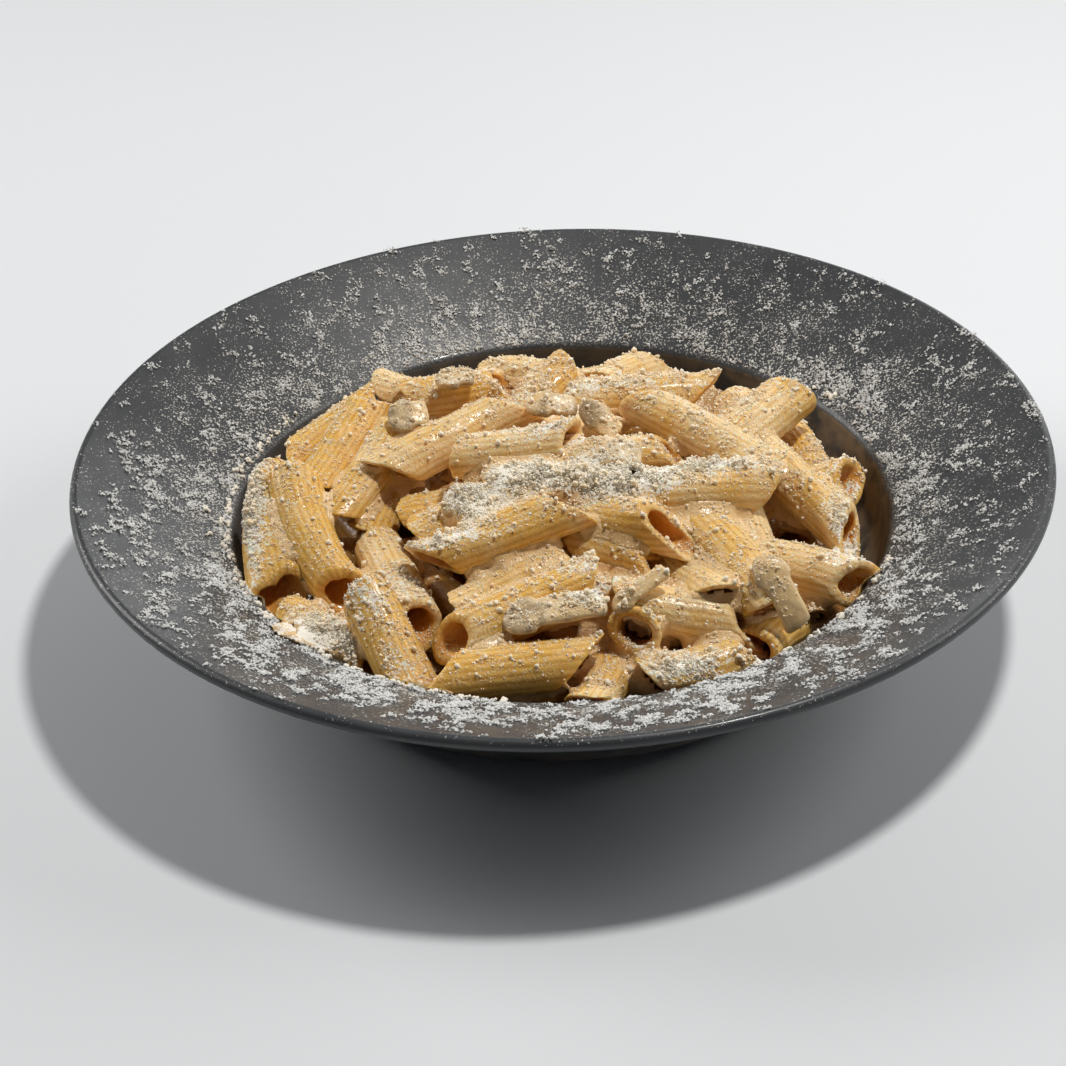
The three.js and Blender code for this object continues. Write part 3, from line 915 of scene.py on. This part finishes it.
class Cheese:
    """Grated hard cheese: bits dropped on food and rim, and rounder grains among them."""

    def __init__(self, tree):
        self.tree, self.rng, self.pile = tree, np.random.default_rng(23), {}
        self.rim, self.dust, self.flakes, self.grains = Batch(), Batch(), Batch(), Batch()
        self.ball, self.ball_faces = icosphere(1)
        self.patchy = wave_field(self.rng, 14, 0.9)

    def bit(self, batch, point, normal, size, soaked=0.0, flat=LOOSE):
        """Add an angular bit, and say how many triangles it has."""
        rng = self.rng
        if size < SMALL_BIT:
            verts, faces = TETRAHEDRON * rng.uniform(0.6, 1.4, (4, 1)), TETRAHEDRON_FACES
        else:
            verts, faces = OCTAHEDRON * rng.uniform(0.65, 1.3, (6, 1)), OCTAHEDRON_FACES
        stretch = size * np.array([rng.uniform(0.7, 1.5), rng.uniform(0.6, 1.1), rng.uniform(*flat)]) / 2
        verts = (verts * stretch) @ lying_turn(normal, rng).T + point
        batch.add(verts, faces, soaked=soaked)
        return len(faces)

    def grain(self, point, size, soaked):
        """Add a rounder grain, and say how many triangles it has."""
        rng, ball = self.rng, self.ball
        rough = 1 + rng.normal(0, 0.14, (len(ball), 1))
        rough = rough + 0.2 * wave(rng, ball @ rng.normal(0, 2.6, (3, 1)))
        verts = (ball * rough * size * rng.uniform(0.75, 1.1, 3) / 2) @ random_turn(rng).T + point
        self.grains.add(verts, self.ball_faces, soaked=soaked)
        return len(self.ball_faces)

    def rim_place(self, x, y, size, lift):
        """A point on the sloping rim, and whether cheese lies that far in or out."""
        reach = math.hypot(x, y)
        return np.array([x, y, rim_height(reach) + size * 0.12 + lift]), RIM_FROM < reach < RIM_TO

    def land(self, x, y, size):
        """Where cheese dropped straight down comes to rest, on top of what already lies there."""
        hit, normal, _, _ = self.tree.ray_cast(Vector((x, y, 90)), Vector((0, 0, -1)))
        lowest = surface_height(x, y) - CHEESE_DEPTH
        if hit is None or normal.z < self.rng.uniform(0.15, 0.6) or hit.z < lowest:
            return None, None
        cell = (round(x * 1.8), round(y * 1.8))
        rest = self.pile.get(cell, 0)
        self.pile[cell] = rest + size * 0.5
        return np.array(hit) + np.array(normal) * size * 0.15 + (0, 0, rest), normal

    def scatter_rim(self):
        """On the sloping rim: ragged clumps, with single bits between them."""
        rng = self.rng
        broad = wave_field(rng, 8, 0.25)
        azimuths = rng.uniform(-math.pi, math.pi, RIM_PLACES)
        radii = rng.uniform(RIM_FROM, RIM_TO - 0.5, RIM_PLACES)
        xs, ys = from_polar(radii, azimuths)
        here = rim_amount(azimuths, radii) * (0.4 + 1.2 * broad(xs, ys))
        here = here * np.clip(6 * (self.patchy(xs, ys) - 0.44), 0.04, 1.8)
        lands = rng.uniform(0, 0.6, RIM_PLACES) < here
        spent = 0
        for x, y in zip(xs[lands], ys[lands]):
            if spent > RIM_TRIANGLES:
                break
            away = np.array([x, y]) / math.hypot(x, y)
            normal = (*(-SLOPE_ALONG[1] * away), SLOPE_ALONG[0])
            alone = rng.uniform(0, 1) < 0.42
            bits = 1 if alone else 3 + int(rng.uniform(0, 1) ** 1.6 * 14)
            heading = rng.uniform(0, 2 * math.pi)
            cos, sin = math.cos(heading), math.sin(heading)
            long, wide = 0.26 * bits ** 0.6, 0.16 * bits ** 0.55
            for _ in range(bits):
                along, across = rng.normal(0, long), rng.normal(0, wide)
                px = x + along * cos - across * sin
                py = y + along * sin + across * cos
                size = 0.28 + 0.4 * rng.uniform(0, 1) if alone else 0.45 + 0.6 * rng.uniform(0, 1)
                point, inside = self.rim_place(px, py, size, rng.uniform(0, 0.05 * bits))
                if inside:
                    spent += self.bit(self.rim, point, normal, size)

    def heap_rim(self):
        """Thicker clumps against the food at the left and front, and a few that lie apart."""
        rng = self.rng
        for degrees, radius, count in CLUMPS:
            for _ in range(count):
                a = math.radians(degrees + rng.normal(0, 1.2 if count > 8 else 0.5))
                r = radius + abs(rng.normal(0, 1.2))
                size = 0.7 + 1.1 * rng.uniform(0, 1)
                point, inside = self.rim_place(r * math.cos(a), r * math.sin(a), size, rng.uniform(0, 0.8))
                if inside:
                    self.grain(point, size, rng.uniform(0.15, 0.4))

    def places(self, candidates, power):
        """Random places on the food, most where the cheese lies thick, and the amount at each."""
        rng = self.rng
        azimuths = rng.uniform(-math.pi, math.pi, candidates)
        radii = FOOD_REACH * np.sqrt(rng.uniform(0, 1, candidates))
        xs, ys = from_polar(radii, azimuths)
        amounts = food_amount(xs, ys)
        share = amounts ** power * np.clip(3 * (self.patchy(xs, ys) - 0.3), 0.25, 1.3)
        lands = rng.uniform(0, 2.2, candidates) < share
        return zip(xs[lands], ys[lands], amounts[lands])

    def scatter_bits(self):
        """On the food: small clumps of bits, drier where the cheese lies thick."""
        rng, spent = self.rng, 0
        for x, y, amount in self.places(BIT_PLACES, 0.9):
            if spent > BIT_TRIANGLES:
                break
            bits = 1 if rng.uniform(0, 1) < 0.5 else 2 + int(rng.uniform(0, 1) ** 2 * (4 + 6 * amount))
            # a warm tint for sauce soaked in and for painted warm bounce light from the pasta, lower where
            # the cheese lies thick
            soaked = rng.uniform(0.15, 0.45) if amount > 0.7 else rng.uniform(0.5, 1.0)
            for _ in range(bits):
                size = 0.32 + (0.4 + 0.35 * min(amount, 1.5)) * rng.uniform(0, 1) ** 2
                dx, dy = rng.normal(0, 0.28 * bits ** 0.5, 2)
                point, normal = self.land(x + dx, y + dy, size)
                if point is not None:
                    batch = self.dust if size < SMALL_BIT else self.flakes
                    spent += self.bit(batch, point, normal, size, soaked, SETTLED)

    def scatter_grains(self):
        rng, spent = self.rng, 0
        for x, y, _ in self.places(GRAIN_PLACES, 1.0):
            if spent > GRAIN_TRIANGLES:
                break
            size = 0.75 + 1.15 * rng.uniform(0, 1) ** 2.2
            soaked = rng.uniform(0.5, 0.9)
            point, _ = self.land(x, y, size)
            if point is not None:
                spent += self.grain(point, size, soaked)

    def pieces(self):
        self.scatter_rim()
        self.heap_rim()
        self.scatter_bits()
        self.scatter_grains()
        return [
            self.rim.piece("cheese_on_rim", "cheese", smooth=False),
            self.dust.piece("cheese_dust", "cheese", smooth=False),
            self.flakes.piece("cheese_flakes", "cheese"),
            self.grains.piece("cheese_grains", "cheese"),
        ]


# ---------------- materials


class Nodes:
    """Short names for building a node tree."""

    def __init__(self, name):
        self.material = bpy.data.materials.new(name)
        self.material.use_nodes = True
        self.tree = self.material.node_tree
        self.tree.nodes.clear()
        self.shader = self.new("BsdfPrincipled")
        self.feed(self.new("OutputMaterial").inputs[0], self.shader.outputs[0])
        self.coords = self.new("TexCoord").outputs["Object"]

    def feed(self, socket, value):
        """Give an input a number, a colour, or another node's output."""
        if isinstance(value, bpy.types.NodeSocket):
            self.tree.links.new(value, socket)
        elif isinstance(value, tuple) and len(value) < len(socket.default_value):
            socket.default_value = (*value, 1)
        else:
            socket.default_value = value

    def new(self, kind, *values, **inputs):
        """A node, its first inputs fed in their order and the others by name."""
        node = self.tree.nodes.new("ShaderNode" + kind)
        for socket, value in zip(node.inputs, values):
            self.feed(socket, value)
        for key, value in inputs.items():
            self.feed(node.inputs[key], value)
        return node

    def set(self, **values):
        """Feed the shader's inputs."""
        for key, value in values.items():
            self.feed(self.shader.inputs[key.replace("_", " ")], value)

    def noise(self, scale, detail=3, roughness=0.5, distortion=0):
        node = self.new("TexNoise", self.coords, Scale=scale, Detail=detail, Roughness=roughness)
        self.feed(node.inputs["Distortion"], distortion)
        return node.outputs["Fac"]

    def attribute(self, name):
        node = self.new("Attribute")
        node.attribute_name = name
        return node.outputs["Fac"]

    def math(self, operation, *values):
        node = self.new("Math", *values)
        node.operation = operation
        return node.outputs[0]

    def add(self, a, b):
        return self.math("ADD", a, b)

    def times(self, a, b):
        return self.math("MULTIPLY", a, b)

    def ramp(self, value, low, high, to_low=0.0, to_high=1.0):
        node = self.new("MapRange", value, low, high, to_low, to_high)
        node.interpolation_type = "SMOOTHSTEP"
        return node.outputs[0]

    def mix(self, factor, a, b):
        node = self.new("Mix", factor)
        node.data_type = "RGBA"
        self.feed(node.inputs[6], a)
        self.feed(node.inputs[7], b)
        return node.outputs[2]

    def bump(self, height, strength, distance):
        return self.new("Bump", Height=height, Strength=strength, Distance=distance).outputs[0]


def glaze_material():
    n = Nodes("bowl_glaze")
    colour = n.mix(n.ramp(n.noise(28, 3), 0.35, 0.65), (0.044, 0.046, 0.049), (0.054, 0.056, 0.059))
    # the finest dust of cheese, thick near the lip
    x, y, _ = n.new("SeparateXYZ", n.coords).outputs
    radius = n.math("SQRT", n.add(n.times(x, x), n.times(y, y)))
    near = n.ramp(radius, 0.139, 0.098, 0.0, 0.09)
    over_lip = n.ramp(radius, 0.0955, 0.0985)
    patch = n.ramp(n.noise(90, 4, 0.6), 0.3, 0.75, 0.0, 0.1)
    speckle = n.math("SUBTRACT", n.noise(1500, 2, 0.6), n.math("SUBTRACT", 0.69, n.add(near, patch)))
    dust = n.times(n.times(n.ramp(speckle, 0.0, 0.05), over_lip), n.attribute("upper"))
    colour = n.mix(dust, colour, (0.62, 0.6, 0.55))
    # brown on the well wall: a thin film of sauce together with a painted reflection of the food
    smear = n.times(n.attribute("smear"), n.ramp(n.noise(110, 5, 0.6), 0.35, 0.6))
    rough = n.ramp(n.noise(140, 4), 0.3, 0.7, 0.38, 0.48)
    n.set(Base_Color=n.mix(smear, colour, (0.22, 0.165, 0.105)), IOR=1.42)
    n.set(Roughness=n.math("MAXIMUM", rough, n.times(dust, 0.9)), Coat_Weight=0.15, Coat_Roughness=0.12)
    n.set(Normal=n.bump(n.noise(900, 2), 0.05, 0.0002))
    return n.material


def wet(n, height, strength, distance, subsurface=0.0):
    """The soft moist look of sauce and of what it coats. Only thick pieces let light in."""
    n.set(Normal=n.bump(height, strength, distance), IOR=1.45, Coat_Weight=0.05, Coat_Roughness=0.1)
    n.set(Subsurface_Weight=subsurface, Subsurface_Scale=0.0015, Subsurface_Radius=(1.0, 0.72, 0.45))


GRANULE = (0.93, 0.74, 0.46)


def dusted(n, colour, rough, height, granule_colour=GRANULE):
    """Cheese: granules half sunk in the sauce, and dry powder where the dust attribute says it settled."""
    dust = n.attribute("dust")
    granule = n.ramp(n.noise(1150, 1, 0.5), 0.55, 0.66)
    granule = n.times(granule, n.ramp(n.noise(120, 3, 0.6), 0.36, 0.6, 0.25, 1.0))
    granule = n.times(granule, n.ramp(dust, 0.0, 0.25, 0.3, 1.0))
    colour = n.mix(n.times(granule, 0.6), colour, granule_colour)
    level = n.add(n.times(n.noise(1500, 2, 0.6), 0.6), n.times(n.noise(330, 3, 0.6), 0.4))
    cover = n.ramp(n.add(level, n.times(n.math("SUBTRACT", dust, 0.5), 0.5)), 0.52, 0.57)
    powder = n.mix(n.ramp(dust, 0.3, 0.75), (0.93, 0.79, 0.56), (0.95, 0.89, 0.78))
    n.set(Base_Color=n.mix(cover, colour, powder), Roughness=n.math("MAXIMUM", rough, n.times(cover, 0.85)))
    return n.add(height, n.add(n.times(granule, 0.45), n.times(cover, 0.5)))


def pasta_material(name="pasta", shade=1.0):
    """Penne, veiled by sauce. A shade under 1 darkens every colour as painted shade, for the layer that
    lies deeper.
    """

    # darker, more saturated colours: painted shade for the deeper layer
    def painted_shade(colour):
        return tuple(value * shade ** (1 + 0.3 * i) for i, value in enumerate(colour))

    n = Nodes(name)
    ridge, inner, tone = n.attribute("ridge"), n.attribute("inner"), n.attribute("tone")
    golden = n.mix(n.noise(40, 2), painted_shade((0.80, 0.46, 0.10)), painted_shade((0.88, 0.57, 0.17)))
    groove = n.mix(n.ramp(ridge, 0.0, 0.7), painted_shade((0.70, 0.38, 0.07)), golden)
    veil = n.add(n.noise(62, 5, 0.55), n.times(n.math("SUBTRACT", tone, 0.5), 0.24))
    creamy = n.mix(n.noise(60, 2), painted_shade((0.90, 0.63, 0.30)), painted_shade((0.95, 0.73, 0.42)))
    coated = n.times(n.ramp(veil, 0.38, 0.60, 0.0, 0.95), n.ramp(ridge, 0.05, 0.7, 0.5, 1.0))
    colour = n.mix(coated, groove, creamy)
    spots = n.ramp(n.noise(330, 3, 0.7), 0.62, 0.75, 0.0, 0.3)
    colour = n.mix(spots, colour, painted_shade((0.60, 0.30, 0.07)))
    # the bore darker and deeper orange: painted shade inside the tube
    colour = n.mix(n.ramp(inner, 0.75, 1.0), colour, painted_shade((0.74, 0.35, 0.07)))
    rough = n.ramp(n.noise(150, 3), 0.4, 0.6, 0.14, 0.5)
    height = dusted(n, colour, rough, n.noise(230, 4, 0.5), painted_shade(GRANULE))
    wet(n, height, 0.6, 0.0009, 0.6 if shade == 1 else 0.0)
    return n.material


def sauce_material():
    n = Nodes("creamy_sauce")
    colour = n.mix(n.noise(70, 4), (0.80, 0.52, 0.24), (0.88, 0.61, 0.31))
    rough = n.ramp(n.noise(200, 3), 0.35, 0.65, 0.12, 0.28)
    wet(n, dusted(n, colour, rough, n.noise(330, 4, 0.55)), 0.45, 0.0009)
    return n.material


def shaded_core_material():
    n = Nodes("sauce_core_painted_shade")
    # the sauce darkened to brown: painted shade in the gaps between the penne
    colour = n.mix(n.noise(80, 4), (0.36, 0.15, 0.035), (0.52, 0.25, 0.07))
    n.set(Base_Color=colour, Roughness=0.3, Normal=n.bump(n.noise(250, 4), 0.8, 0.002))
    return n.material


def mushroom_material():
    n = Nodes("mushroom")
    streak = n.noise(170, 4, 0.65, distortion=0.6)
    flesh = n.mix(n.ramp(streak, 0.33, 0.67), (0.36, 0.26, 0.15), (0.88, 0.67, 0.39))
    colour = n.mix(n.times(n.attribute("gills"), 0.5), flesh, (0.27, 0.18, 0.10))
    colour = n.mix(n.ramp(n.attribute("edge"), 0.55, 1.0, 0.0, 0.55), colour, (0.27, 0.19, 0.12))
    sauced = n.add(n.noise(75, 4, 0.6), n.times(n.attribute("sauced"), 0.25))
    colour = n.mix(n.ramp(sauced, 0.52, 0.72, 0.0, 0.85), colour, (0.88, 0.62, 0.30))
    wet(n, dusted(n, colour, 0.3, n.noise(400, 4)), 0.3, 0.0008, 0.25)
    return n.material


def cheese_material():
    n = Nodes("cheese")
    soaked = n.attribute("soaked")
    colour = n.mix(n.noise(500, 2), (0.74, 0.745, 0.735), (0.82, 0.825, 0.81))
    # cheese on the food warmer than on the rim: partly sauce soaked in, partly painted warm bounce light
    # from the pasta
    colour = n.mix(n.ramp(soaked, 0.0, 0.25), colour, (0.99, 0.93, 0.80))
    colour = n.mix(n.ramp(soaked, 0.3, 1.0), colour, (1.0, 0.81, 0.53))
    n.set(Base_Color=colour, Roughness=1.0, IOR=1.3)
    n.set(Sheen_Weight=0.5, Sheen_Roughness=0.6, Sheen_Tint=(1, 0.93, 0.82))
    return n.material


def floor_material():
    n = Nodes("floor")
    n.set(Base_Color=n.mix(n.noise(3, 2), (0.735, 0.75, 0.77), (0.76, 0.775, 0.795)), Roughness=0.75)
    return n.material


# ---------------- camera, floor and light, in metres

FLOOR_REACH = 3

# name, place, width, power and colour of each lamp; all of them aim at the food
LAMPS = [
    ("key", (0.36, 0.1, 1.25), 0.12, 10.4, (1, 0.985, 0.96)),
    ("back", (0.75, 2.2, 0.5), 1.8, 13.0, (1, 1, 1)),
    ("left", (-1.3, 0.68, 0.9), 1.0, 14.5, (1, 0.995, 0.98)),
    ("right", (1.4, 0.34, 0.9), 1.0, 9.7, (1, 0.995, 0.98)),
]
AIM = Vector((0, 0, 0.03))
SKY, SKY_POWER = (0.9, 0.93, 1, 1), 0.04

EYE = Vector((0, -0.4977, 0.3474))
EYE_FORWARD = Vector((-0.0148, 0.8337, -0.552))
EYE_RIGHT = Vector((0.9992, -0.0075, -0.0381))
EYE_LENS = 67.54


def new_lamp(name, place, width, power, colour):
    light = bpy.data.lights.new(name, "AREA")
    light.shape = "DISK"
    light.size = width
    light.energy = power
    light.color = colour
    lamp = linked(name, light)
    lamp.location = place
    lamp.rotation_euler = (AIM - Vector(place)).to_track_quat("-Z", "Y").to_euler()


def new_camera():
    camera = bpy.data.cameras.new("camera")
    camera.lens = EYE_LENS
    camera.sensor_width = 36
    camera.clip_start = 0.01
    eye = linked("camera", camera)
    forward, right = EYE_FORWARD.normalized(), EYE_RIGHT.normalized()
    turn = Matrix((right, right.cross(forward).normalized(), -forward)).transposed()
    eye.matrix_world = Matrix.Translation(EYE) @ turn.to_4x4()
    bpy.context.scene.camera = eye


def build_stage():
    corners = [(-1, -1, 0), (1, -1, 0), (1, 1, 0), (-1, 1, 0)]
    floor = new_object("floor", corners, [[0, 1, 2, 3]], scale=FLOOR_REACH)
    floor.data.materials.append(floor_material())
    for lamp in LAMPS:
        new_lamp(*lamp)
    world = bpy.data.worlds.new("studio")
    world.use_nodes = True
    background = world.node_tree.nodes["Background"]
    background.inputs[0].default_value = SKY
    background.inputs[1].default_value = SKY_POWER
    bpy.context.scene.world = world
    new_camera()
    bpy.context.scene.view_settings.view_transform = "Standard"


# ---------------- the scene

bowl = build_bowl()
penne_pieces, groups = build_penne()
core = build_core()
sauce = build_sauce(groups)
slice_rng = np.random.default_rng(11)
mushrooms = [build_mushroom(number, item, slice_rng) for number, item in enumerate(MUSHROOMS, 1)]
food = penne_pieces + mushrooms + [sauce]
food_tree = surface_tree(food)
settle(food, food_tree)
cheese = Cheese(food_tree).pieces()

for pieces, material in (
    ([bowl], glaze_material()),
    (penne_pieces[:-1], pasta_material()),
    # the layer below, its colours darkened as painted shade
    (penne_pieces[-1:], pasta_material("pasta_below_painted_shade", 0.5)),
    ([core], shaded_core_material()),
    ([sauce], sauce_material()),
    (mushrooms, mushroom_material()),
    (cheese, cheese_material()),
):
    for piece in pieces:
        piece.data.materials.append(material)

build_stage()
